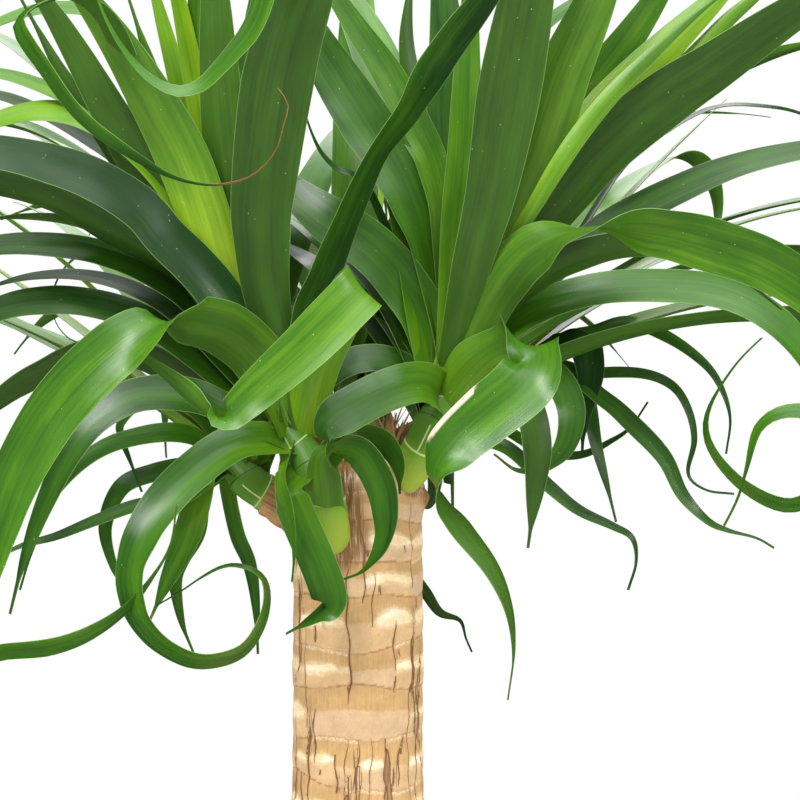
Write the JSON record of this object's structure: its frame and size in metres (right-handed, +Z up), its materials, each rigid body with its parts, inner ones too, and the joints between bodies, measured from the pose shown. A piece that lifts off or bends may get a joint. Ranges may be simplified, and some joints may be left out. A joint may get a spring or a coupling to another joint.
{
  "type": "potted ponytail palm",
  "caption": "Potted ponytail palm: a swollen-footed bark trunk, cut across at the top and ringed by leafy shoots of long arching blades, in a plain round pot.",
  "frame": {"origin": "middle of the pot's flat underside, on the surface it stands on", "axes": "+Z up along the trunk, the front of the plant towards -Y, +X to the right seen from the front"},
  "size_m": [0.7438, 0.4994, 1.1148],
  "materials": {
    "pot_clay": "matt fired clay, unglazed",
    "soil": "dark crumbly potting soil",
    "bark": "tan flaky bark in bands with dark cracks",
    "foliage": "glossy green blades, lime in the hearts, with pale margins"
  },
  "bodies": {
    "root": {"pot": "pot_clay", "soil": "soil", "trunk": "bark", "leaf_head_front_left": "foliage", "leaf_head_front_right": "foliage", "leaf_head_back_left": "foliage", "leaf_head_back_right": "foliage", "leaf_head_back": "foliage"}
  },
  "joints": []
}
